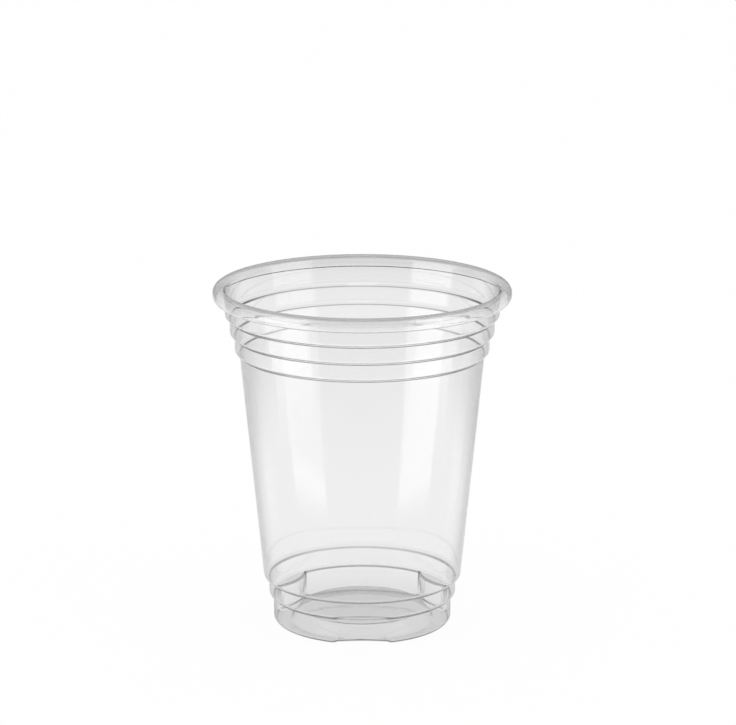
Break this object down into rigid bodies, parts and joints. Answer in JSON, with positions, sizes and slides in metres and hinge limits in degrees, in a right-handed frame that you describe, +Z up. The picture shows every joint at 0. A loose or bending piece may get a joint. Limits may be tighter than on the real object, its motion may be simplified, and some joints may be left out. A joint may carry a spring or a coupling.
{
  "type": "clear plastic cup",
  "caption": "Clear disposable cup for cold drinks: tapered wall, stepped neck under a rolled rim, banded foot with stacking lugs and a raised floor.",
  "frame": {"origin": "centre of the foot, on the cup's axis, in the plane that it stands on", "axes": "+Z up along the cup's axis; -Y towards the viewer, through one stacking lug; +X to the viewer's right"},
  "size_m": [0.092, 0.092, 0.107],
  "materials": {
    "clear_plastic": "clear thermoformed plastic, smooth and glossy"
  },
  "bodies": {
    "root": {"cup": "clear_plastic"}
  },
  "joints": []
}
